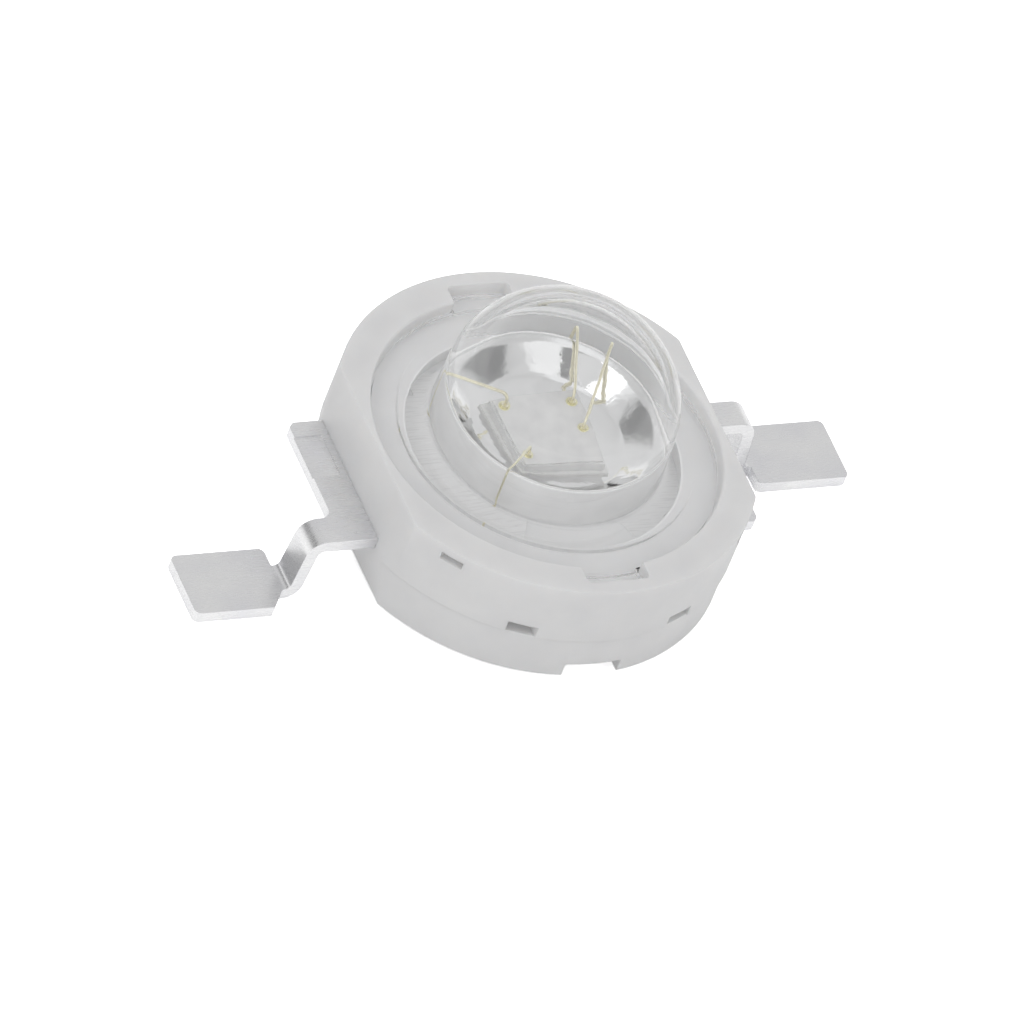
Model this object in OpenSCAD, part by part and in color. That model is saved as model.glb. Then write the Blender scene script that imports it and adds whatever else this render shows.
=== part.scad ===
// High power LED emitter: round moulded body, heat slug with a reflector cup, gull-wing leads, dome lens.
// Origin on the board surface under the middle of the heat slug, X along the leads, Z up, millimetres.

/* [Body] */
// Diameter of the moulded body
body_d = 8.0; // [7.8:0.1:8.6]
// Height of the rim of the body above the board
body_top = 2.52; // [2.45:0.01:2.8]
// Gap between the underside of the body and the board
body_gap = 0.25; // [0.15:0.01:0.35]
// Width across the two flats at the top and bottom edges
flats_w = 6.96; // [6.9:0.02:7.1]
// Draft that the flats have above and below the leads, on each side
flats_draft = 0.15; // [0.05:0.01:0.2]
// Rounding of the top edge of the body
edge_r = 0.12; // [0.05:0.01:0.13]
// Diameter of the seat for the lens flange
seat_d = 6.7; // [6.66:0.02:6.76]
// Height of the floor of the seat
seat_floor = 2.0; // [1.9:0.01:2.05]
// Diameter of the well around the cup
well_d = 5.2; // [5.0:0.1:5.4]
// Width of the two pockets for the lens lugs
pocket_w = 1.25; // [1.1:0.05:1.4]
// Width of the two notches in the bottom edge
notch_w = 1.13; // [0.8:0.01:1.4]
// Height of the notches in the bottom edge
notch_h = 0.31; // [0.2:0.01:0.4]

/* [Leads] */
// Length over both feet
lead_span = 14.17; // [13.8:0.01:14.8]
// Thickness of the lead strip
lead_t = 0.25; // [0.2:0.01:0.3]
// Height of the top face of the strip where it leaves the body
lead_top = 1.45; // [1.4:0.01:1.6]
// Inner radius of the two bends
bend_r = 0.12; // [0.08:0.01:0.2]
// Angle that the strip is bent down by
bend_angle = 85; // [75:1:89]
// Distance from the middle to the start of the first bend
bend_x = 4.62; // [4.5:0.01:4.8]
// Inner edge of the neck
neck_in = 0.71; // [0.6:0.01:0.8]
// Outer edge of the neck
neck_out = 1.32; // [1.2:0.01:1.5]
// Inner edge of the foot
foot_in = 0.28; // [0.2:0.01:0.5]
// Outer edge of the foot
foot_out = 1.72; // [1.55:0.01:1.9]
// Reach of the wide shoulder of the left lead
left_shoulder_x = 4.33; // [4.1:0.01:4.4]
// Reach of the wide shoulder of the right lead
right_shoulder_x = 4.03; // [4.0:0.01:4.4]

/* [Heat slug] */
// Diameter of the base of the slug
slug_d = 5.9; // [5.6:0.1:6.0]
// Diameter of the post that carries the cup
post_d = 2.82; // [2.76:0.02:2.88]
// Height of the rim of the cup
cup_top = 2.84; // [2.78:0.01:2.85]
// Depth of the cup
cup_depth = 0.2; // [0.18:0.01:0.25]
// Radius of the cup at its rim
cup_rim_r = 1.3; // [1.25:0.01:1.35]
// Radius of the floor of the cup
cup_floor_r = 0.92; // [0.9:0.01:1.0]

/* [Lens] */
// Height of the top of the dome
dome_top = 5.35; // [5.2:0.05:5.6]
// Radius of the dome where its wall meets the flange
dome_base_r = 2.25; // [2.2:0.01:2.3]
// Radius of the cap of the dome
cap_r = 2.33; // [2.3:0.01:2.5]
// Radius of the shoulder between cap and wall
shoulder_r = 1.75; // [1.6:0.05:1.9]
// Draft angle of the wall of the dome
wall_draft = 2.5; // [1:0.5:4]
// Diameter of the lens flange
flange_d = 6.6; // [6.5:0.02:6.64]
// Radius of the roof of the hollow under the dome
roof_r = 1.5; // [1.45:0.05:1.6]
// Height of the centre of that roof
roof_z = 3.0; // [2.95:0.05:3.1]

/* [Chip] */
// Width of the square chip
chip_w = 1.14; // [1.1:0.02:1.18]
// Thickness of the chip
chip_t = 0.1; // [0.08:0.01:0.12]
// Diameter of the bond wires
wire_d = 0.035; // [0.025:0.005:0.04]
// Height of the middle of the wire above the rim of the cup
wire_over_rim = 0.08; // [0.06:0.01:0.1]

/* [Hidden] */
$fn = 96;

body_r = body_d/2;
lead_bottom = lead_top - lead_t;
parting_step = 0.04;                  // the lower half of the mould is smaller by this much in radius
flat_x = flats_w/2;
seat_r = seat_d/2;
well_r = well_d/2;
pocket_floor = seat_floor + 0.08;
pocket_r = 3.7;                       // reach of the lug pockets from the middle
notch_depth = 0.75;
window_pitch = 47;                    // angle between the two windows on each side where the strip was cut
window_w = 0.52;
arm_short = 0.37;                     // the arms end this far inside the round wall
arm_end = body_r*cos(window_pitch/2) - arm_short;
arm_start = 1.6;
arm_x = body_r*sin(window_pitch/2);
slot_pitch = 95;                      // angle between the two shallow slots under the rim on each side
slot_w = 0.45;
slot_h = 0.15;
slot_z = 2.2;
slot_depth = 0.2;

tip_x = lead_span/2;
foot_x = 5.2;
foot_corner = 0.12;
foot_chamfer = 0.3;
shoulder_end = -1.64;                 // far side edge of the wide shoulder
shoulder_chamfer = 0.1;
neck_fillet = 0.22;
ring_in = 1.6;                        // the strip curves around the post between these two radii
ring_out = 2.5;
ring_angle = 62;                      // half of the angle that it covers
lock_hole_r = 0.35;                   // the plastic of the body runs through this hole
lock_hole_x = 3.05;
mark_depth = 0.04;                    // pressed mark on the left shoulder
mark_w = 1.0;
mark_x = 3.77;
mark_y = -1.28;

slug_r = slug_d/2;
post_r = post_d/2;
slug_base_h = 0.55;
groove_r = 2.55;
groove_top = 0.72;
collar_r = 2.3;
collar_top = 1.0;
slug_chamfer = 0.08;
cup_floor = cup_top - cup_depth;

flange_r = flange_d/2;
flange_top = 2.32;
plateau_top = 2.42;
plateau_r = 2.84;
lug_w = pocket_w - 0.2;
lug_r = pocket_r - 0.06;
lug_top = 2.3;
foot_bevel = 0.08;                    // where the wall of the dome meets the plateau
mouth_r = 1.9;                        // the hollow is straight up to mouth_top, then narrows to its roof
mouth_top = 2.5;

glue_t = 0.02;
glue_edge = 0.05;
chip_bottom = cup_floor + glue_t;
chip_top = chip_bottom + chip_t;
mesa_h = 0.02;
mesa_inset = 0.03;
pad_inset = 0.13;                     // from the edges of the chip to the middle of a bond pad
pad_x = chip_w/2 - pad_inset;
left_front_pad = [-pad_x, -0.37];
left_rear_pad = [-pad_x, pad_x];
right_front_pad = [pad_x, -0.05];
right_rear_pad = [pad_x, 0.38];
wire_top = cup_top + wire_over_rim;
ball_r = 0.05;
ball_h = 0.03;
loop_r = 0.12;
land_r = 1.67;                        // distance of the wire's end from the middle
wedge_l = 0.14;
wedge_w = 0.06;
wedge_h = 0.02;

// points on an arc about [cx, cy] from angle a0 to a1, from the one numbered first on
function arc(cx, cy, r, a0, a1, n = 8, first = 0) =
    [for (i = [first:n]) let (a = a0 + (a1 - a0)*i/n) [cx + r*cos(a), cy + r*sin(a)]];

// what is at +Y, and the same at -Y
module both_sides() {
    for (a = [0, 180]) rotate([0, 0, a]) children();
}

// two on each side, pitch degrees apart
module four_around(pitch) {
    for (side = [0, 180], half = [-1, 1]) rotate([0, 0, side + half*pitch/2]) children();
}

module ring_sector(r_out, r_in, a0, a1) {
    intersection() {
        difference() {
            circle(r_out);
            circle(r_in);
        }
        polygon(concat([[0, 0]], arc(0, 0, 2*r_out, a0, a1)));
    }
}

// HOUSING

module body_turned() {
    h = body_top - lead_bottom;
    rotate_extrude() {
        translate([0, body_gap]) square([body_r - parting_step, lead_bottom - body_gap]);
        translate([0, lead_bottom]) square([body_r - edge_r, h]);
        translate([0, lead_bottom]) square([body_r, h - edge_r]);
        translate([body_r - edge_r, body_top - edge_r]) circle(edge_r);
    }
}

// the flats lean out from both edges and are widest at the strip
module body_between_flats() {
    wide = flat_x + flats_draft;
    half = concat(
        [[flat_x, body_gap], [wide, lead_bottom], [wide, lead_top]],
        arc(flat_x - edge_r, body_top - edge_r, edge_r, 0, 90, 6));
    other_half = [for (i = [len(half) - 1:-1:0]) [-half[i][0], half[i][1]]];
    rotate([90, 0, 0]) linear_extrude(2*body_d, center = true) polygon(concat(half, other_half));
}

module lug_pocket() {
    intersection() {
        translate([-pocket_w/2, seat_r - 0.5, pocket_floor]) cube([pocket_w, 2, body_top]);
        cylinder(r = pocket_r, h = 2*body_top);
    }
}

module bottom_notch() {
    translate([-notch_w/2, body_r - notch_depth, 0]) cube([notch_w, 2*notch_depth, body_gap + notch_h]);
}

// the cut ends of the strip lie a little way inside the wall
module strip_windows() {
    for (s = [-1, 1])
        translate([s*arm_x - window_w/2, arm_end, lead_bottom]) cube([window_w, body_r, lead_t]);
}

module side_slot() {
    translate([-slot_w/2, body_r - slot_depth, slot_z]) cube([slot_w, 2*slot_depth, slot_h]);
}

module housing() {
    color("white") difference() {
        intersection() {
            body_turned();
            body_between_flats();
        }
        four_around(slot_pitch) side_slot();
        translate([0, 0, seat_floor]) cylinder(r = seat_r, h = body_top);
        translate([0, 0, lead_top]) cylinder(r = well_r, h = body_top);
        both_sides() {
            lug_pocket();
            bottom_notch();
            strip_windows();
        }
        slug_outside();
        lead_shape(right_shoulder_x);
        rotate([0, 0, 180]) lead_shape(left_shoulder_x);
    }
}

// HEAT SLUG

module slug_outside() {
    rotate_extrude() polygon([
        [0, 0], [slug_r - slug_chamfer, 0], [slug_r, slug_chamfer], [slug_r, slug_base_h],
        [groove_r, slug_base_h], [groove_r, groove_top], [collar_r, groove_top], [collar_r, collar_top],
        [post_r, collar_top], [post_r, cup_top], [0, cup_top]]);
}

module heat_slug() {
    color("silver") difference() {
        slug_outside();
        translate([0, 0, cup_floor]) cylinder(r1 = cup_floor_r, r2 = cup_rim_r, h = cup_depth);
    }
}

// LEADS

// side view of the strip: out of the body, down, and out again to the foot
module lead_side_view() {
    outer = bend_r + lead_t;
    top_centre = [bend_x, lead_top - outer];
    across = [sin(bend_angle), cos(bend_angle)];
    along = [cos(bend_angle), -sin(bend_angle)];
    start = top_centre + bend_r*across;
    slant = (start[1] + outer*across[1] - outer)/sin(bend_angle);
    end = start + slant*along;
    low_centre = end + outer*across;
    translate([0, lead_bottom]) square([bend_x, lead_t]);
    translate(top_centre) ring_sector(outer, bend_r, 90 - bend_angle, 90);
    polygon([start, end, end + lead_t*across, start + lead_t*across]);
    translate(low_centre) ring_sector(outer, bend_r, 270 - bend_angle, 270);
    translate([low_centre[0], 0]) square([tip_x - low_centre[0], lead_t]);
}

// outline seen from above: wide shoulder, neck and foot
module lead_outline(shoulder_x) {
    polygon(concat(
        [[ring_in, shoulder_end], [shoulder_x - shoulder_chamfer, shoulder_end],
         [shoulder_x, shoulder_end + shoulder_chamfer]],
        arc(shoulder_x + neck_fillet, neck_in - neck_fillet, neck_fillet, 180, 90),
        [[foot_x, neck_in]],
        arc(foot_x + foot_corner, foot_in + foot_corner, foot_corner, 180, 270),
        arc(tip_x - foot_corner, foot_in + foot_corner, foot_corner, 270, 360),
        arc(tip_x - foot_corner, foot_out - foot_corner, foot_corner, 0, 90),
        [[foot_x + foot_chamfer, foot_out], [foot_x, neck_out], [ring_in, neck_out]]));
}

// part ring around the post, and the arms that held the strip in its frame
module lead_inside() {
    ring_sector(ring_out, ring_in, -ring_angle, ring_angle);
    for (y = [-arm_end, arm_start])
        translate([arm_x - window_w/2, y]) square([window_w, arm_end - arm_start]);
}

module lead_shape(shoulder_x) {
    intersection() {
        rotate([90, 0, 0]) linear_extrude(body_d, center = true) lead_side_view();
        linear_extrude(2*lead_top) difference() {
            union() {
                lead_outline(shoulder_x);
                lead_inside();
            }
            translate([lock_hole_x, 0]) circle(lock_hole_r);
        }
    }
}

module left_lead() {
    color("silver") rotate([0, 0, 180]) difference() {
        lead_shape(left_shoulder_x);
        translate([mark_x, mark_y, lead_top - mark_depth]) cube([1, mark_w, 1]);
    }
}

module right_lead() {
    color("silver") lead_shape(right_shoulder_x);
}

// LENS

// right half of the section through the middle of the lens, as if it were solid
module lens_section() {
    outward = [cos(wall_draft), sin(wall_draft)];
    upward = [-sin(wall_draft), cos(wall_draft)];
    base = [dome_base_r, plateau_top];
    cap_centre = [0, dome_top - cap_r];
    from_cap = base - shoulder_r*outward - cap_centre;
    half_b = from_cap*upward;
    rise = -half_b + sqrt(half_b*half_b - from_cap*from_cap + pow(cap_r - shoulder_r, 2));
    to_shoulder = from_cap + rise*upward;
    shoulder_centre = cap_centre + to_shoulder;
    join = atan2(to_shoulder[1], to_shoulder[0]);
    polygon(concat(
        [[0, seat_floor], [flange_r, seat_floor], [flange_r, flange_top], [plateau_r, flange_top],
         [plateau_r, plateau_top], base + [foot_bevel, 0], base + foot_bevel*[-tan(wall_draft), 1]],
        arc(shoulder_centre[0], shoulder_centre[1], shoulder_r, wall_draft, join, 12),
        arc(cap_centre[0], cap_centre[1], cap_r, join, 90, 12, 1)));
}

// right half of the section of the hollow that the gel fills
module hollow_section(from_z) {
    polygon(concat(
        [[0, from_z], [mouth_r, from_z], [mouth_r, mouth_top]],
        arc(0, roof_z, roof_r, 0, 90, 16)));
}

module lens_lug() {
    intersection() {
        translate([-lug_w/2, flange_r - 0.5, pocket_floor]) cube([lug_w, 2, lug_top - pocket_floor]);
        cylinder(r = lug_r, h = 2*body_top);
    }
}

module lens() {
    color("aliceblue", 0.4) difference() {
        union() {
            rotate_extrude() lens_section();
            both_sides() lens_lug();
        }
        rotate_extrude() hollow_section(seat_floor - 1);
    }
}

module gel_fill() {
    color("white", 0.3) difference() {
        union() {
            translate([0, 0, lead_top]) cylinder(r = well_r, h = seat_floor - lead_top);
            rotate_extrude() hollow_section(lead_top);
        }
        heat_slug();
        die_attach();
        led_die();
        left_wire_front();
        left_wire_rear();
        right_wire_front();
        right_wire_rear();
    }
}

// CHIP

module die_attach() {
    w = chip_w + 2*glue_edge;
    color("lightgray") translate([-w/2, -w/2, cup_floor]) cube([w, w, glue_t]);
}

module led_die() {
    top_w = chip_w - 2*mesa_inset;
    color("lightblue") {
        translate([-chip_w/2, -chip_w/2, chip_bottom]) cube([chip_w, chip_w, chip_t - mesa_h]);
        translate([-top_w/2, -top_w/2, chip_bottom]) cube([top_w, top_w, chip_t]);
    }
}

// BOND WIRES

// a quarter bend of wire in the plane Y = 0, from angle a0 on
module wire_bend(x, z, a0) {
    translate([x, 0, z]) rotate([90, 0, 0]) rotate([0, 0, a0]) rotate_extrude(angle = 90)
        translate([loop_r, 0]) circle(wire_d/2, $fn = 24);
}

module straight_wire(length) {
    cylinder(r = wire_d/2, h = length, $fn = 24);
}

// ball on the pad, up and straight out over the rim of the cup, down to the strip and the flat wedge end
module bond_wire(pad, land_angle) {
    land = land_r*[cos(land_angle), sin(land_angle)];
    reach = round(1000*norm(land - pad))/1000;
    leg_x = reach - loop_r;
    low_z = lead_top + wire_d/2 + loop_r;
    heading = atan2(land[1] - pad[1], land[0] - pad[0]);
    color("gold") translate([pad[0], pad[1], 0]) rotate([0, 0, heading]) {
        translate([0, 0, chip_top]) cylinder(r = ball_r, h = ball_h);
        translate([0, 0, chip_top]) straight_wire(wire_top - loop_r - chip_top);
        wire_bend(loop_r, wire_top - loop_r, 90);
        translate([loop_r, 0, wire_top]) rotate([0, 90, 0]) straight_wire(leg_x - 2*loop_r);
        wire_bend(leg_x - loop_r, wire_top - loop_r, 0);
        translate([leg_x, 0, low_z]) straight_wire(wire_top - loop_r - low_z);
        wire_bend(reach, low_z, 180);
        translate([reach - wedge_l/3, -wedge_w/2, lead_top]) cube([wedge_l, wedge_w, wedge_h]);
    }
}

module left_wire_front() {
    bond_wire(left_front_pad, 220);
}

module left_wire_rear() {
    bond_wire(left_rear_pad, 137);
}

module right_wire_front() {
    bond_wire(right_front_pad, 44);
}

module right_wire_rear() {
    bond_wire(right_rear_pad, 59);
}

housing();
heat_slug();
left_lead();
right_lead();
lens();
gel_fill();
die_attach();
led_die();
left_wire_front();
left_wire_rear();
right_wire_front();
right_wire_rear();
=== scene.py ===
"""High power LED emitter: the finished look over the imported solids. Shapes are drawn in millimetres."""
import math

import bmesh
import bpy
from mathutils import Matrix, Vector


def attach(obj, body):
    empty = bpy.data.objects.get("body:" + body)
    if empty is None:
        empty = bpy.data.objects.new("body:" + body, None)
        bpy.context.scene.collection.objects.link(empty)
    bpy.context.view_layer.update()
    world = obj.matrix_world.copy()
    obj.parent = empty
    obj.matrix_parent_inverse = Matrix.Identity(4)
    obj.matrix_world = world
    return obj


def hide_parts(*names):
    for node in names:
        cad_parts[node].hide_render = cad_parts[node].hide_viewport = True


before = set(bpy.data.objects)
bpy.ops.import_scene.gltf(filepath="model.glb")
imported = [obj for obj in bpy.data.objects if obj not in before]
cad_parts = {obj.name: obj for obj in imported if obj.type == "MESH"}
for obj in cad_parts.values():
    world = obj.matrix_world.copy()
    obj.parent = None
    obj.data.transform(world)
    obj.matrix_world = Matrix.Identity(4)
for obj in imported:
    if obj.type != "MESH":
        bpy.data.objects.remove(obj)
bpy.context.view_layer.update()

MM = 0.001
AROUND = 256                     # steps in one full turn of a turned piece

# Sizes of the body that are shared with its solid, in millimetres
BODY_R = 4.0
BODY_TOP = 2.52
BODY_BOTTOM = 0.25
PARTING_Z = 1.2                  # the body is a little smaller below its parting line
LOWER_R = 3.96
LEAD_TOP = 1.45
STAMPED_R = 0.025                # rounding of the stamped edges of the leads
FLAT_X = 3.48                    # half the width over the flats at their edges, and at their widest
FLAT_WIDE_X = 3.63
SEAT_R = 3.35                    # the lens sits in this round seat, and its lugs in the two pockets
SEAT_Z = 2.0
WELL_R = 2.6
POCKET_W = 1.25
POCKET_R = 3.7
POCKET_Z = 2.08
NOTCH_W = 1.13
NOTCH_IN = 3.25
NOTCH_TOP = 0.56
WINDOW_W = 0.52                  # the cut ends of the strip lie a little way inside these windows
WINDOW_X = 1.595
WINDOW_IN = 3.298
SLOT_W = 0.45                    # shallow slots under the rim
SLOT_DEPTH = 0.2
SLOT_Z = 2.2
SLOT_TOP = 2.35
SLOT_ANGLES = (-47.5, 47.5, 132.5, 227.5)

# Sizes of the slug and its cup
SLUG_R = 2.95
SLUG_BASE_TOP = 0.55
GROOVE_R = 2.55
GROOVE_TOP = 0.72
COLLAR_R = 2.3
COLLAR_TOP = 1.0
POST_R = 1.41
CUP_TOP = 2.84
CUP_FLOOR = 2.64
CUP_RIM_R = 1.3
CUP_FLOOR_R = 0.92

# Sizes of the lens and of the hollow under its dome
DOME_TOP = 5.35
DOME_BASE_R = 2.25
CAP_R = 2.33
SHOULDER_R = 1.75
WALL_DRAFT = math.radians(2.5)
FLANGE_R = 3.3
FLANGE_TOP = 2.32
PLATEAU_R = 2.84
PLATEAU_TOP = 2.42
LUG_R = 3.64
LUG_BOTTOM = 2.08
LUG_TOP = 2.3
LUG_HALF_ANGLE = 9.2             # degrees on each side of the Y axis
MOUTH_R = 1.9
MOUTH_TOP = 2.5
ROOF_R = 1.5
ROOF_Z = 3.0

# Sizes of the chip
CHIP_W = 1.14
CHIP_BOTTOM = 2.66
CHIP_TOP = 2.76
MESA_H = 0.02
MESA_INSET = 0.03
PADS = ((-0.44, -0.37), (-0.44, 0.44), (0.44, -0.05), (0.44, 0.38))
PAD_R = 0.075
PAD_TOP_R = 0.072
PAD_T = 0.006

# Small distances that keep two faces from sharing a plane
LENS_BOTTOM = 2.006              # a hair above the seat
WELL_FLOOR = 1.44                # a hair under the strip
GEL_GAP = 0.006                  # the gel is drawn this much smaller than its solid all round
FLOOR_GAP = 0.004                # the table is this much under the feet

PLASTIC_IOR = 1.585
GEL_IOR = 1.41
DOME_GATHERS = 1.08              # light on what lies under the dome, against the same in the open
CAMERA_AZIMUTH = math.radians(37.295)

# Greys of the studio around the object, as (turn, grey): the camera is at 0.5 and its left at 0.25.
# The upper part shows in the far wall of the cup, the lower part in the side walls.
UPPER_GRAYS = (
    (0.0, 0.72), (0.15, 0.62), (0.27, 0.7), (0.297, 1.0), (0.367, 1.0), (0.375, 0.33),
    (0.572, 0.33), (0.581, 1.0), (0.686, 1.0), (0.714, 0.7), (0.85, 0.62), (1.0, 0.72))
LOWER_GRAYS = (
    (0.0, 0.72), (0.172, 0.72), (0.194, 0.3), (0.272, 0.3), (0.289, 0.95),
    (0.717, 0.95), (0.733, 0.3), (0.814, 0.3), (0.836, 0.72), (1.0, 0.72))
STUDIO_WHITE = (0.95, 0.95, 0.95)
STUDIO_TOP = (0.95, 0.95, 0.955)
# Heights (the sine of the elevation) between which each part fades into the next
LOWER_FROM = (0.22, 0.32)
UPPER_FROM = (0.7, 0.76)
TOP_FROM = (0.955, 0.985)


# Node helpers

def add_node(tree, kind, **settings):
    node = tree.nodes.new(kind)
    for name, value in settings.items():
        setattr(node, name, value)
    return node


def plug(tree, source, target):
    tree.links.new(source, target)


def start_material(name):
    material = bpy.data.materials.new(name)
    material.use_nodes = True
    shader = material.node_tree.nodes["Principled BSDF"]
    return material, material.node_tree, shader


def position_mm(tree):
    """Object coordinates in millimetres."""
    place = add_node(tree, "ShaderNodeTexCoord")
    scale = add_node(tree, "ShaderNodeVectorMath", operation="SCALE")
    scale.inputs["Scale"].default_value = 1 / MM
    plug(tree, place.outputs["Object"], scale.inputs[0])
    return scale.outputs[0]


def start_group(name, inputs, outputs):
    """A node group with (name, socket type, default) inputs and (name, socket type) outputs."""
    tree = bpy.data.node_groups.new(name, "ShaderNodeTree")
    for label, kind, default in inputs:
        socket = tree.interface.new_socket(label, in_out="INPUT", socket_type=kind)
        if default is not None:
            socket.default_value = default
    for label, kind in outputs:
        tree.interface.new_socket(label, in_out="OUTPUT", socket_type=kind)
    return tree, add_node(tree, "NodeGroupInput"), add_node(tree, "NodeGroupOutput")


def use_group(tree, group, **values):
    node = add_node(tree, "ShaderNodeGroup", node_tree=group)
    for label, value in values.items():
        node.inputs[label].default_value = value
    return node


def blotches_group():
    """Slow, soft variation: a mask from 0 to 1 whose patches are Size millimetres wide."""
    tree, given, result = start_group(
        "soft blotches",
        [("Position", "NodeSocketVector", None), ("Size", "NodeSocketFloat", 1.0)],
        [("Mask", "NodeSocketFloat")])
    inverse = add_node(tree, "ShaderNodeMath", operation="DIVIDE")
    inverse.inputs[0].default_value = 1.0
    plug(tree, given.outputs["Size"], inverse.inputs[1])
    noise = add_node(tree, "ShaderNodeTexNoise")
    noise.inputs["Detail"].default_value = 3.0
    plug(tree, given.outputs["Position"], noise.inputs["Vector"])
    plug(tree, inverse.outputs[0], noise.inputs["Scale"])
    spread = add_node(tree, "ShaderNodeMapRange")
    spread.inputs["From Min"].default_value = 0.3
    spread.inputs["From Max"].default_value = 0.7
    plug(tree, noise.outputs["Fac"], spread.inputs["Value"])
    plug(tree, spread.outputs["Result"], result.inputs["Mask"])
    return tree


def rolled_group():
    """Fine lines along X that are Width millimetres wide, as rolling leaves them on strip."""
    tree, given, result = start_group(
        "rolling lines",
        [("Position", "NodeSocketVector", None), ("Width", "NodeSocketFloat", 0.02)],
        [("Height", "NodeSocketFloat"), ("Mask", "NodeSocketFloat")])
    stretch = add_node(tree, "ShaderNodeVectorMath", operation="MULTIPLY")
    stretch.inputs[1].default_value = (0.04, 1.0, 1.0)
    plug(tree, given.outputs["Position"], stretch.inputs[0])
    inverse = add_node(tree, "ShaderNodeMath", operation="DIVIDE")
    inverse.inputs[0].default_value = 1.0
    plug(tree, given.outputs["Width"], inverse.inputs[1])
    lines = add_node(tree, "ShaderNodeTexNoise")
    lines.inputs["Detail"].default_value = 4.0
    plug(tree, stretch.outputs[0], lines.inputs["Vector"])
    plug(tree, inverse.outputs[0], lines.inputs["Scale"])
    spread = add_node(tree, "ShaderNodeMapRange")
    spread.inputs["From Min"].default_value = 0.35
    spread.inputs["From Max"].default_value = 0.65
    plug(tree, lines.outputs["Fac"], spread.inputs["Value"])
    plug(tree, lines.outputs["Fac"], result.inputs["Height"])
    plug(tree, spread.outputs["Result"], result.inputs["Mask"])
    return tree


BLOTCHES = blotches_group()
ROLLED = rolled_group()


def blotches(tree, position, size_mm):
    cloud = use_group(tree, BLOTCHES, Size=size_mm)
    plug(tree, position, cloud.inputs["Position"])
    return cloud.outputs["Mask"]


def mix_colors(tree, mask, first, second):
    """first where the mask is 0 and second where it is 1; each a colour or a socket."""
    mix = add_node(tree, "ShaderNodeMix", data_type="RGBA")
    plug(tree, mask, mix.inputs["Factor"])
    for value, socket in ((first, mix.inputs[6]), (second, mix.inputs[7])):
        if isinstance(value, tuple):
            socket.default_value = (*value, 1.0)
        else:
            plug(tree, value, socket)
    return mix.outputs[2]


def spread_values(tree, mask, low, high):
    """The mask from 0 to 1 spread over low to high."""
    spread = add_node(tree, "ShaderNodeMapRange")
    spread.inputs["To Min"].default_value = low
    spread.inputs["To Max"].default_value = high
    plug(tree, mask, spread.inputs["Value"])
    return spread.outputs["Result"]


def within_radius(tree, position, radius):
    """1 nearer to the middle than the radius in millimetres, 0 further out, with a short change between."""
    half_change = 0.02
    level = add_node(tree, "ShaderNodeVectorMath", operation="MULTIPLY")
    level.inputs[1].default_value = (1.0, 1.0, 0.0)
    plug(tree, position, level.inputs[0])
    length = add_node(tree, "ShaderNodeVectorMath", operation="LENGTH")
    plug(tree, level.outputs[0], length.inputs[0])
    change = add_node(tree, "ShaderNodeMapRange")
    change.inputs["From Min"].default_value = radius + half_change
    change.inputs["From Max"].default_value = radius - half_change
    plug(tree, length.outputs["Value"], change.inputs["Value"])
    return change.outputs["Result"]


def add_bump(tree, shader, height, depth_mm, under=None):
    """Bumps of the given depth; under is a normal that they lie on."""
    bump = add_node(tree, "ShaderNodeBump")
    bump.inputs["Strength"].default_value = 1.0
    bump.inputs["Distance"].default_value = depth_mm * MM
    plug(tree, height, bump.inputs["Height"])
    if under is not None:
        plug(tree, under, bump.inputs["Normal"])
    plug(tree, bump.outputs["Normal"], shader.inputs["Normal"])


def noise_height(tree, position, size_mm, detail=2.0):
    noise = add_node(tree, "ShaderNodeTexNoise")
    noise.inputs["Scale"].default_value = 1 / size_mm
    noise.inputs["Detail"].default_value = detail
    plug(tree, position, noise.inputs["Vector"])
    return noise.outputs["Fac"]


# Finishes

# Painted light: a whiter colour for the surfaces in the well under the lens, in place of light they don't
# get
WELL_WHITE_PAINTED_LIGHT = (0.92, 0.92, 0.92)


def white_moulding():
    material, tree, shader = start_material("white_moulding")
    position = position_mm(tree)
    color = mix_colors(tree, blotches(tree, position, 0.9), (0.76, 0.76, 0.765), (0.80, 0.80, 0.80))
    # Painted light: whiter in the well, to make up for the light that the lens and the gel in front of it
    # turn away and for the shade in the well
    in_well = within_radius(tree, position, WELL_R + 0.03)
    plug(tree, mix_colors(tree, in_well, color, WELL_WHITE_PAINTED_LIGHT), shader.inputs["Base Color"])
    fine = blotches(tree, position, 0.15)
    plug(tree, spread_values(tree, fine, 0.38, 0.5), shader.inputs["Roughness"])
    plug(tree, spread_values(tree, in_well, 0.6, 0.25), shader.inputs["Subsurface Weight"])
    shader.inputs["Subsurface Radius"].default_value = (1.0, 0.95, 0.9)
    shader.inputs["Subsurface Scale"].default_value = 0.3 * MM
    shader.inputs["IOR"].default_value = 1.5
    edge = add_node(tree, "ShaderNodeBevel", samples=6)
    edge.inputs["Radius"].default_value = 0.03 * MM
    add_bump(tree, shader, noise_height(tree, position, 0.03), 0.002, edge.outputs["Normal"])
    return material


def silver_strip():
    material, tree, shader = start_material("silver_strip")
    position = position_mm(tree)
    lines = use_group(tree, ROLLED, Width=0.025)
    plug(tree, position, lines.inputs["Position"])
    color = mix_colors(tree, blotches(tree, position, 0.7), (0.80, 0.80, 0.82), (0.86, 0.86, 0.86))
    # Painted light: in the well the strip is drawn white and matt like the moulding beside it, so that it
    # reads as light as that moulding
    in_well = within_radius(tree, position, WELL_R + 0.05)
    plug(tree, mix_colors(tree, in_well, color, WELL_WHITE_PAINTED_LIGHT), shader.inputs["Base Color"])
    plug(tree, spread_values(tree, lines.outputs["Mask"], 0.24, 0.36), shader.inputs["Roughness"])
    plug(tree, spread_values(tree, in_well, 1.0, 0.05), shader.inputs["Metallic"])
    add_bump(tree, shader, lines.outputs["Height"], 0.001)
    return material


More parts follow.
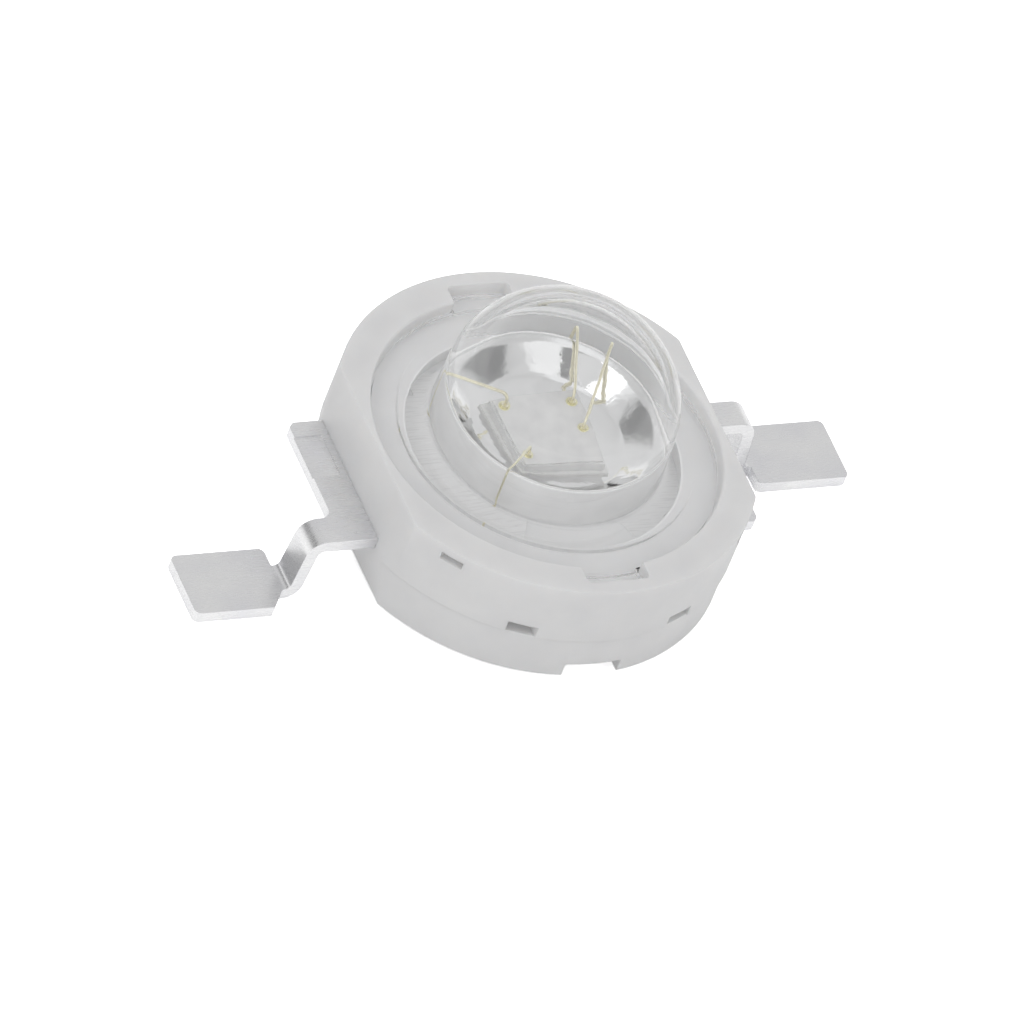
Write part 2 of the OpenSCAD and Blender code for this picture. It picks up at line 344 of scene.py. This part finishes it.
def silver_slug():
    material, tree, shader = start_material("silver_slug")
    position = position_mm(tree)
    cloud = blotches(tree, position, 0.5)
    plug(tree, mix_colors(tree, cloud, (0.86, 0.86, 0.86), (0.93, 0.93, 0.93)), shader.inputs["Base Color"])
    plug(tree, spread_values(tree, cloud, 0.05, 0.09), shader.inputs["Roughness"])
    # Painted light: only the cup is metal; outside it the slug is matt, so that its post side under the lens
    # reads light
    metal_in_cup = within_radius(tree, position, POST_R - 0.03)
    plug(tree, spread_values(tree, metal_in_cup, 0.0, 1.0), shader.inputs["Metallic"])
    add_bump(tree, shader, noise_height(tree, position, 0.12, 3.0), 0.003)
    return material


def let_light_in(tree, shader, gathers):
    """Lets the light of lamps and of matt surfaces straight through, times gathers."""
    out = tree.nodes["Material Output"]
    rays = add_node(tree, "ShaderNodeLightPath")
    passing = shader.outputs["BSDF"]
    for kind in ("Is Diffuse Ray", "Is Shadow Ray"):
        open_way = add_node(tree, "ShaderNodeBsdfTransparent")
        open_way.inputs["Color"].default_value = (gathers, gathers, gathers, 1.0)
        choice = add_node(tree, "ShaderNodeMixShader")
        plug(tree, rays.outputs[kind], choice.inputs[0])
        plug(tree, passing, choice.inputs[1])
        plug(tree, open_way.outputs[0], choice.inputs[2])
        passing = choice.outputs[0]
    plug(tree, passing, out.inputs["Surface"])


def clear_plastic(name, ior, gathers):
    material, tree, shader = start_material(name)
    let_light_in(tree, shader, gathers)
    position = position_mm(tree)
    shader.inputs["Base Color"].default_value = (0.995, 0.998, 1.0, 1.0)
    shader.inputs["Transmission Weight"].default_value = 1.0
    shader.inputs["Roughness"].default_value = 0.01
    shader.inputs["IOR"].default_value = ior
    add_bump(tree, shader, noise_height(tree, position, 0.6, 2.0), 0.002)
    return material


def clear_gel():
    """Bends nothing itself: the faces of the lens that it wets bend the light for both."""
    material, tree, shader = start_material("clear_gel")
    let_light_in(tree, shader, 1.0)
    shader.inputs["Base Color"].default_value = (1.0, 1.0, 1.0, 1.0)
    shader.inputs["Transmission Weight"].default_value = 1.0
    shader.inputs["Roughness"].default_value = 0.0
    shader.inputs["IOR"].default_value = 1.0
    return material


def chip_face():
    material, tree, shader = start_material("chip_crystal")
    position = position_mm(tree)
    color = mix_colors(tree, blotches(tree, position, 0.2), (0.66, 0.66, 0.66), (0.74, 0.74, 0.735))
    plug(tree, color, shader.inputs["Base Color"])
    shader.inputs["Roughness"].default_value = 0.15
    shader.inputs["IOR"].default_value = 1.77
    return material


def gold(name, color, roughness):
    material, tree, shader = start_material(name)
    position = position_mm(tree)
    darker = tuple(0.85 * c for c in color)
    plug(tree, mix_colors(tree, blotches(tree, position, 0.05), darker, color), shader.inputs["Base Color"])
    shader.inputs["Metallic"].default_value = 1.0
    shader.inputs["Roughness"].default_value = roughness
    return material


def dull_glue():
    material, tree, shader = start_material("silver_glue")
    position = position_mm(tree)
    color = mix_colors(tree, blotches(tree, position, 0.04), (0.68, 0.68, 0.67), (0.78, 0.78, 0.77))
    plug(tree, color, shader.inputs["Base Color"])
    shader.inputs["Roughness"].default_value = 0.55
    return material


WHITE = white_moulding()
STRIP = silver_strip()
SLUG = silver_slug()
LENS = clear_plastic("clear_lens", PLASTIC_IOR, DOME_GATHERS)
LENS_ON_GEL = clear_plastic("clear_lens_on_gel", PLASTIC_IOR / GEL_IOR, 1.0)
GEL = clear_gel()
CHIP = chip_face()
GOLD_WIRE = gold("gold_wire", (0.9, 0.86, 0.68), 0.3)
GOLD_PAD = gold("gold_pad", (0.88, 0.85, 0.6), 0.35)
GLUE = dull_glue()


# Shape helpers

def corners_of(parts):
    return [part for part in parts if isinstance(part, bmesh.types.BMVert)]


class Outline:
    """A run of edges in the XZ plane, drawn from point to point and then turned round Z."""

    def __init__(self, x, z):
        self.bm = bmesh.new()
        self.first = self.bm.verts.new((x, 0, z))
        self.last = self.first

    def to(self, *points):
        for x, z in points:
            nxt = self.bm.verts.new((x, 0, z))
            self.bm.edges.new((self.last, nxt))
            self.last = nxt
        return self

    def lift_to(self, x, z):
        """Goes on from another point without drawing the edge between."""
        self.last = self.bm.verts.new((x, 0, z))

    def arc(self, centre_x, centre_z, angle, steps):
        """Carries on round a centre; a positive angle runs from X towards Z."""
        made = bmesh.ops.spin(
            self.bm, geom=[self.last], cent=(centre_x, 0, centre_z), axis=(0, -1, 0),
            angle=angle, steps=steps)
        self.last = corners_of(made["geom_last"])[0]
        return self

    def close(self):
        self.bm.edges.new((self.last, self.first))
        return self

    def turn(self):
        """Turns the outline once round Z and joins it up at the seam and at the poles."""
        geometry = self.bm.verts[:] + self.bm.edges[:]
        bmesh.ops.spin(
            self.bm, geom=geometry, cent=(0, 0, 0), axis=(0, 0, 1), angle=math.tau, steps=AROUND,
            use_merge=True)
        bmesh.ops.remove_doubles(self.bm, verts=self.bm.verts, dist=1e-5)
        bmesh.ops.recalc_face_normals(self.bm, faces=self.bm.faces)
        return self.bm


def block(low, high):
    """A box from its lowest to its highest corner."""
    bm = bmesh.new()
    bmesh.ops.create_cube(bm, size=1.0)
    size = Vector(high) - Vector(low)
    bmesh.ops.scale(bm, vec=size, verts=bm.verts)
    bmesh.ops.translate(bm, vec=(Vector(high) + Vector(low)) / 2, verts=bm.verts)
    return bm


def round_edges(bm, offset, steps, pick):
    """Rounds the edges for which pick(edge) is true."""
    edges = [edge for edge in bm.edges if pick(edge)]
    bmesh.ops.bevel(
        bm, geom=edges, offset=offset, offset_type="OFFSET", segments=steps, profile=0.5,
        affect="EDGES", material=-1, clamp_overlap=True)


def upright(edge):
    a, b = (v.co for v in edge.verts)
    return (a - b).normalized().z ** 2 > 0.999


def on_ring(radius, height):
    def pick(edge):
        return all(abs(v.co.z - height) < 1e-4 and abs(v.co.xy.length - radius) < 1e-3 for v in edge.verts)
    return pick


def round_rings(bm, rings):
    """Rounds circular edges, each given as (radius, height, offset, steps)."""
    for radius, height, offset, steps in rings:
        round_edges(bm, offset, steps, on_ring(radius, height))


def as_object(bm, name, *materials, sharp=35):
    """Turns the drawing in millimetres into an object in metres, smooth except at sharp edges."""
    bm.transform(Matrix.Scale(MM, 4))
    mesh = bpy.data.meshes.new(name)
    bm.to_mesh(mesh)
    bm.free()
    for material in materials:
        mesh.materials.append(material)
    mesh.shade_smooth()
    mesh.set_sharp_from_angle(angle=math.radians(sharp))
    piece = bpy.data.objects.new(name, mesh)
    bpy.context.scene.collection.objects.link(piece)
    return piece


def cut_away(base, tools):
    """Cuts the tools out of the base one after the other and removes them."""
    for tool in tools:
        change = base.modifiers.new("cut", "BOOLEAN")
        change.operation = "DIFFERENCE"
        change.solver = "EXACT"
        change.object = tool
    bpy.context.view_layer.update()
    graph = bpy.context.evaluated_depsgraph_get()
    made = bpy.data.meshes.new_from_object(base.evaluated_get(graph))
    base.modifiers.clear()
    base.data = made
    for tool in tools:
        bpy.data.objects.remove(tool)


def smooth_but_sharp(piece, angle):
    piece.data.shade_smooth()
    piece.data.set_sharp_from_angle(angle=math.radians(angle))


def turned(bm, degrees):
    """The drawing itself, turned round Z."""
    turn = Matrix.Rotation(math.radians(degrees), 3, "Z")
    bmesh.ops.rotate(bm, cent=(0, 0, 0), matrix=turn, verts=bm.verts)
    return bm


# The housing

def housing_turned():
    """The body with its seat and its well, turned and then cut to its flats."""
    outline = Outline(SLUG_R, BODY_BOTTOM)
    outline.to((LOWER_R, BODY_BOTTOM), (LOWER_R, PARTING_Z), (BODY_R, PARTING_Z), (BODY_R, BODY_TOP))
    outline.to((SEAT_R, BODY_TOP), (SEAT_R, SEAT_Z), (WELL_R, SEAT_Z), (WELL_R, WELL_FLOOR))
    outline.to((POST_R, WELL_FLOOR), (POST_R, COLLAR_TOP), (COLLAR_R, COLLAR_TOP), (COLLAR_R, GROOVE_TOP))
    outline.to((GROOVE_R, GROOVE_TOP), (GROOVE_R, SLUG_BASE_TOP), (SLUG_R, SLUG_BASE_TOP))
    bm = outline.close().turn()
    lean = math.atan2(FLAT_WIDE_X - FLAT_X, BODY_TOP - LEAD_TOP)
    for side in (-1, 1):
        for height, tilt in ((LEAD_TOP, lean), (PARTING_Z, 0.0), (PARTING_Z, -lean)):
            cut = bmesh.ops.bisect_plane(
                bm, geom=bm.verts[:] + bm.edges[:] + bm.faces[:], dist=1e-5,
                plane_co=(side * FLAT_WIDE_X, 0, height),
                plane_no=(side * math.cos(tilt), 0, math.sin(tilt)), clear_outer=True)
            rim = [part for part in cut["geom_cut"] if isinstance(part, bmesh.types.BMEdge)]
            bmesh.ops.contextual_create(bm, geom=rim)
    bmesh.ops.recalc_face_normals(bm, faces=bm.faces)
    return bm


def outer_edge_at(height):
    """Picks the corner that runs round the outside at that height."""
    least_angle = 0.7            # between the two faces, in radians

    def pick(edge):
        outside = all(abs(v.co.z - height) < 1e-4 and v.co.xy.length > SEAT_R + 0.05 for v in edge.verts)
        return outside and edge.is_manifold and edge.calc_face_angle() > least_angle
    return pick


def make_housing():
    """The body, with pockets for the lens lugs, notches, windows and slots cut into it."""
    bm = housing_turned()
    round_edges(bm, offset=0.11, steps=4, pick=outer_edge_at(BODY_TOP))
    round_edges(bm, offset=0.05, steps=2, pick=outer_edge_at(BODY_BOTTOM))
    round_rings(bm, [(SEAT_R, BODY_TOP, 0.05, 3)])
    piece = as_object(bm, "white_housing", WHITE)
    past = 0.5                   # the cutters stand out of the body by this much
    cutters = []
    for turn in (0, 180):
        pocket = block(
            (-POCKET_W / 2, SEAT_R - past, POCKET_Z), (POCKET_W / 2, POCKET_R, BODY_TOP + past))
        round_edges(pocket, offset=0.09, steps=3, pick=upright)
        notch = block((-NOTCH_W / 2, NOTCH_IN, 0), (NOTCH_W / 2, BODY_R + past, NOTCH_TOP))
        round_edges(notch, offset=0.05, steps=2, pick=lambda e: all(v.co.z > BODY_BOTTOM for v in e.verts))
        windows = []
        for x in (-WINDOW_X, WINDOW_X):
            windows.append(block(
                (x - WINDOW_W / 2, WINDOW_IN, PARTING_Z), (x + WINDOW_W / 2, BODY_R + past, LEAD_TOP)))
        for k, cutter in enumerate([pocket, notch, *windows]):
            cutters.append(as_object(turned(cutter, turn), "cutter_%d" % k))
    for k, turn in enumerate(SLOT_ANGLES):
        slot = block(
            (-SLOT_W / 2, BODY_R - SLOT_DEPTH, SLOT_Z), (SLOT_W / 2, BODY_R + SLOT_DEPTH, SLOT_TOP))
        round_edges(slot, offset=0.03, steps=2, pick=lambda e: all(v.co.y < BODY_R for v in e.verts))
        cutters.append(as_object(turned(slot, turn), "slot_%d" % k))
    cut_away(piece, cutters)
    smooth_but_sharp(piece, 30)
    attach(piece, "root")
    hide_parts("housing")


# The slug

def make_slug():
    """Base, lock groove, collar, post and cup in one turned piece."""
    outline = Outline(0, 0)
    outline.to((SLUG_R, 0), (SLUG_R, SLUG_BASE_TOP), (GROOVE_R, SLUG_BASE_TOP), (GROOVE_R, GROOVE_TOP))
    outline.to((COLLAR_R, GROOVE_TOP), (COLLAR_R, COLLAR_TOP), (POST_R, COLLAR_TOP), (POST_R, CUP_TOP))
    outline.to((CUP_RIM_R, CUP_TOP), (CUP_FLOOR_R, CUP_FLOOR), (0, CUP_FLOOR))
    bm = outline.turn()
    round_rings(bm, [
        (SLUG_R, 0, 0.08, 3), (POST_R, CUP_TOP, 0.04, 3), (CUP_RIM_R, CUP_TOP, 0.05, 4),
        (CUP_FLOOR_R, CUP_FLOOR, 0.06, 4)])
    piece = as_object(bm, "silver_slug", SLUG)
    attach(piece, "root")
    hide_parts("heat_slug")


# The leads

def make_lead(node):
    """A merged copy of the solid, with its flat faces whole again and its stamped edges rounded."""
    bm = bmesh.new()
    bm.from_mesh(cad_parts[node].data)
    bmesh.ops.remove_doubles(bm, verts=bm.verts, dist=1e-7)
    bmesh.ops.dissolve_limit(
        bm, angle_limit=math.radians(0.5), verts=bm.verts, edges=bm.edges, use_dissolve_boundaries=False)
    bm.transform(Matrix.Scale(1 / MM, 4))
    piece = as_object(bm, node + "_strip", STRIP, sharp=25)
    edge = piece.modifiers.new("stamped edges", "BEVEL")
    edge.width = STAMPED_R * MM
    edge.segments = 2
    edge.limit_method = "ANGLE"
    edge.angle_limit = math.radians(40)
    edge.harden_normals = True
    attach(piece, "root")
    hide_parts(node)


# The lens

def lens_outline():
    """Flange, step, wall, shoulder and cap, each tangent to the next, then the roof of the hollow."""
    cap_z = DOME_TOP - CAP_R
    # A shoulder that touches the foot of the wall rises along the wall until it also touches the cap
    base_x = DOME_BASE_R - SHOULDER_R * math.cos(WALL_DRAFT)
    base_z = PLATEAU_TOP - cap_z - SHOULDER_R * math.sin(WALL_DRAFT)
    along = (-math.sin(WALL_DRAFT), math.cos(WALL_DRAFT))
    half = base_x * along[0] + base_z * along[1]
    rise = -half + math.sqrt(half ** 2 - base_x ** 2 - base_z ** 2 + (CAP_R - SHOULDER_R) ** 2)
    shoulder_x = base_x + rise * along[0]
    shoulder_z = base_z + rise * along[1]
    join = math.atan2(shoulder_z, shoulder_x)
    outline = Outline(MOUTH_R, LENS_BOTTOM)
    outline.to((WELL_R, LENS_BOTTOM), (FLANGE_R, LENS_BOTTOM), (FLANGE_R, LUG_BOTTOM), (FLANGE_R, LUG_TOP))
    outline.to((FLANGE_R, FLANGE_TOP), (PLATEAU_R, FLANGE_TOP), (PLATEAU_R, PLATEAU_TOP))
    outline.to((DOME_BASE_R, PLATEAU_TOP))
    wall_end_x = shoulder_x + SHOULDER_R * math.cos(WALL_DRAFT)
    wall_end_z = cap_z + shoulder_z + SHOULDER_R * math.sin(WALL_DRAFT)
    outline.to((wall_end_x, wall_end_z))
    outline.arc(shoulder_x, cap_z + shoulder_z, join - WALL_DRAFT, 24)
    outline.arc(0, cap_z, math.pi / 2 - join, 28)
    outline.last.co.x = 0
    outline.lift_to(0, ROOF_Z + ROOF_R)
    outline.arc(0, ROOF_Z, -math.pi / 2, 40)
    outline.to((MOUTH_R, MOUTH_TOP))
    return outline.close()


def make_lens():
    """The turned lens with its two lugs; the faces that the gel wets have a material of their own."""
    bm = lens_outline().turn()
    lug_faces = []
    for face in bm.faces:
        middle = face.calc_center_median()
        on_edge = abs(middle.xy.length - FLANGE_R) < 0.01 and LUG_BOTTOM < middle.z < LUG_TOP
        off_axis = abs(math.degrees(math.atan2(middle.x, abs(middle.y))))
        if on_edge and off_axis < LUG_HALF_ANGLE:
            lug_faces.append(face)
    grown = bmesh.ops.extrude_face_region(bm, geom=lug_faces)
    reach = LUG_R / FLANGE_R
    bmesh.ops.scale(bm, vec=(reach, reach, 1), verts=corners_of(grown["geom"]))
    bmesh.ops.delete(bm, geom=lug_faces, context="FACES")
    for face in bm.faces:
        middle = face.calc_center_median()
        radius = middle.xy.length
        underneath = middle.z < LENS_BOTTOM + 1e-4
        roof = ROOF_Z + math.sqrt(max(ROOF_R ** 2 - radius ** 2, 0))
        in_hollow = radius < MOUTH_R + 1e-3 and middle.z < roof + 0.01
        face.material_index = 1 if underneath or in_hollow else 0
    round_rings(bm, [
        (FLANGE_R, FLANGE_TOP, 0.03, 3), (PLATEAU_R, PLATEAU_TOP, 0.03, 3), (PLATEAU_R, FLANGE_TOP, 0.02, 2),
        (DOME_BASE_R, PLATEAU_TOP, 0.1, 6), (ROOF_R, ROOF_Z, 0.3, 10), (MOUTH_R, MOUTH_TOP, 0.12, 5),
        (MOUTH_R, LENS_BOTTOM, 0.03, 2)])
    bmesh.ops.recalc_face_normals(bm, faces=bm.faces)
    piece = as_object(bm, "clear_lens", LENS, LENS_ON_GEL, sharp=40)
    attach(piece, "root")
    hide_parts("lens")


def make_gel():
    """The gel in the well, over the cup and in the hollow; it clears the rounded corner of the cup."""
    corner_in = 0.06
    corner_up = 0.05
    well_x = WELL_R - GEL_GAP
    mouth_x = MOUTH_R - GEL_GAP
    post_x = POST_R + GEL_GAP
    cup_floor_z = CUP_FLOOR + GEL_GAP
    outline = Outline(post_x, LEAD_TOP + GEL_GAP)
    outline.to((well_x, LEAD_TOP + GEL_GAP), (well_x, SEAT_Z - GEL_GAP), (mouth_x, SEAT_Z - GEL_GAP))
    outline.to((mouth_x, MOUTH_TOP - GEL_GAP), (ROOF_R - GEL_GAP, ROOF_Z))
    outline.arc(0, ROOF_Z, math.pi / 2, 32)
    outline.last.co.x = 0
    outline.lift_to(0, cup_floor_z)
    outline.to((CUP_FLOOR_R - corner_in, cup_floor_z), (CUP_FLOOR_R, CUP_FLOOR + corner_up))
    outline.to((CUP_RIM_R - 2 * GEL_GAP, CUP_TOP + GEL_GAP), (post_x, CUP_TOP + GEL_GAP))
    bm = outline.close().turn()
    piece = as_object(bm, "clear_gel", GEL, sharp=40)
    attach(piece, "root")
    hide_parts("gel_fill")


# The chip

def make_chip():
    """The chip with its raised face, and the thin bond pads on it."""
    half = CHIP_W / 2
    bm = block((-half, -half, CHIP_BOTTOM), (half, half, CHIP_TOP - MESA_H))
    top = [face for face in bm.faces if face.normal.z > 0.9]
    bmesh.ops.inset_region(bm, faces=top, thickness=MESA_INSET)
    raised = bmesh.ops.extrude_face_region(bm, geom=top)
    bmesh.ops.translate(bm, vec=(0, 0, MESA_H), verts=corners_of(raised["geom"]))
    bmesh.ops.delete(bm, geom=top, context="FACES")
    bmesh.ops.recalc_face_normals(bm, faces=bm.faces)
    piece = as_object(bm, "chip", CHIP, sharp=30)
    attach(piece, "root")
    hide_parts("led_die")
    pads = bmesh.new()
    for x, y in PADS:
        # A sixth of each pad is sunk in the chip
        place = Matrix.Translation((x, y, CHIP_TOP + PAD_T / 3))
        bmesh.ops.create_cone(
            pads, cap_ends=True, segments=32, radius1=PAD_R, radius2=PAD_TOP_R, depth=PAD_T, matrix=place)
    pads_piece = as_object(pads, "chip_pads", GOLD_PAD)
    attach(pads_piece, "root")


def finish_wires():
    """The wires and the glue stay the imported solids, with materials of their own."""
    for side in ("left", "right"):
        for end in ("front", "rear"):
            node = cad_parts["%s_wire_%s" % (side, end)]
            node.data.materials.clear()
            node.data.materials.append(GOLD_WIRE)
    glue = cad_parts["die_attach"]
    glue.data.materials.clear()
    glue.data.materials.append(GLUE)


make_housing()
make_slug()
make_lead("left_lead")
make_lead("right_lead")
make_lens()
make_gel()
make_chip()
finish_wires()


# Floor, light and camera

def white_table():
    """Plain white, and brighter to the camera, through glass and in mirrors, so that it reads as white."""
    material, tree, shader = start_material("white_table")
    rays = add_node(tree, "ShaderNodeLightPath")
    color = (0.8, 0.8, 0.8)
    for kind, gray in (("Is Glossy Ray", 1.38), ("Is Transmission Ray", 3.0), ("Is Camera Ray", 3.0)):
        color = mix_colors(tree, rays.outputs[kind], color, (gray, gray, gray))
    plug(tree, color, shader.inputs["Base Color"])
    shader.inputs["Roughness"].default_value = 0.9
    shader.inputs["Specular IOR Level"].default_value = 0.0
    return material


def make_floor():
    bm = bmesh.new()
    bmesh.ops.create_grid(bm, x_segments=1, y_segments=1, size=3000)
    bmesh.ops.translate(bm, vec=(0, 0, -FLOOR_GAP), verts=bm.verts)
    floor = as_object(bm, "white_table", white_table())


def gray_ramp(tree, value, stops):
    """Grey over a value from 0 to 1, as (position, grey) stops."""
    ramp = add_node(tree, "ShaderNodeValToRGB")
    elements = ramp.color_ramp.elements
    while len(elements) < len(stops):
        elements.new(0.5)
    for element, (position, gray) in zip(elements, stops):
        element.position = position
        element.color = (gray, gray, gray, 1)
    plug(tree, value, ramp.inputs["Fac"])
    return ramp.outputs["Color"]


def fade_in(tree, value, ends):
    """0 up to the first end, 1 from the second end on."""
    start, full = ends
    return gray_ramp(tree, value, ((0.0, 0.0), (start, 0.0), (full, 1.0), (1.0, 1.0)))


def light_world():
    """A pale studio: two wide soft lights beside the camera, the dim camera between them, dim sides."""
    world = bpy.data.worlds.new("studio")
    bpy.context.scene.world = world
    world.use_nodes = True
    tree = world.node_tree
    background = tree.nodes["Background"]
    place = add_node(tree, "ShaderNodeTexCoord")
    from_camera = add_node(tree, "ShaderNodeVectorRotate", rotation_type="Z_AXIS")
    from_camera.inputs["Angle"].default_value = CAMERA_AZIMUTH
    plug(tree, place.outputs["Generated"], from_camera.inputs["Vector"])
    split = add_node(tree, "ShaderNodeSeparateXYZ")
    plug(tree, from_camera.outputs[0], split.inputs[0])
    towards = add_node(tree, "ShaderNodeMath", operation="MULTIPLY")
    towards.inputs[1].default_value = -1.0
    plug(tree, split.outputs["Y"], towards.inputs[0])
    turn = add_node(tree, "ShaderNodeMath", operation="ARCTAN2")
    plug(tree, split.outputs["X"], turn.inputs[0])
    plug(tree, towards.outputs[0], turn.inputs[1])
    around = add_node(tree, "ShaderNodeMath", operation="MULTIPLY_ADD")
    around.inputs[1].default_value = 1 / math.tau
    around.inputs[2].default_value = 0.5
    plug(tree, turn.outputs[0], around.inputs[0])
    upper = gray_ramp(tree, around.outputs[0], UPPER_GRAYS)
    lower = gray_ramp(tree, around.outputs[0], LOWER_GRAYS)
    height = split.outputs["Z"]
    walls = mix_colors(tree, fade_in(tree, height, UPPER_FROM), lower, upper)
    sides = mix_colors(tree, fade_in(tree, height, LOWER_FROM), STUDIO_WHITE, walls)
    lit = mix_colors(tree, fade_in(tree, height, TOP_FROM), sides, STUDIO_TOP)
    rays = add_node(tree, "ShaderNodeLightPath")
    color = mix_colors(tree, rays.outputs["Is Camera Ray"], lit, (1.0, 1.0, 1.0))
    plug(tree, color, background.inputs["Color"])


def softbox(name, place_mm, size_mm, power):
    """A square lamp that looks at the middle of the object and doesn't show in mirrors."""
    light = bpy.data.lights.new(name, "AREA")
    light.shape = "SQUARE"
    light.size = size_mm * MM
    light.energy = power
    lamp = bpy.data.objects.new(name, light)
    bpy.context.scene.collection.objects.link(lamp)
    lamp.location = Vector(place_mm) * MM
    lamp.visible_glossy = False
    lamp.rotation_mode = "QUATERNION"
    lamp.rotation_quaternion = (-lamp.location).to_track_quat("-Z", "Y")


def make_camera():
    """The view that the photo was taken from, worked out from the round rim, the dome and the feet."""
    azimuth = CAMERA_AZIMUTH
    elevation = math.radians(42.752)
    roll = math.radians(22.664)
    distance = 354.9
    middle = Vector((0, 0, SEAT_Z))
    off_right = 0.510            # how far the middle stands right of and above the middle of the picture
    off_up = 1.1185
    right = Vector((math.cos(azimuth), -math.sin(azimuth), 0))
    back = Vector((
        -math.sin(azimuth) * math.cos(elevation),
        -math.cos(azimuth) * math.cos(elevation),
        math.sin(elevation)))
    up = back.cross(right)
    turned_right = right * math.cos(roll) + up * math.sin(roll)
    turned_up = up * math.cos(roll) - right * math.sin(roll)
    aim = middle - off_right * turned_right - off_up * turned_up
    data = bpy.data.cameras.new("camera")
    data.sensor_width = 36
    data.lens = 684.0            # the picture is 18.7 mm wide at the object
    data.clip_start = 0.01
    data.clip_end = 10
    camera = bpy.data.objects.new("camera", data)
    bpy.context.scene.collection.objects.link(camera)
    turn = Matrix((turned_right, turned_up, back)).transposed()
    camera.matrix_world = Matrix.Translation((aim + distance * back) * MM) @ turn.to_4x4()
    bpy.context.scene.camera = camera


make_floor()
light_world()
softbox("high_left", (-250, -50, 420), 300, 0.12)
make_camera()
bpy.context.scene.view_settings.view_transform = "Standard"
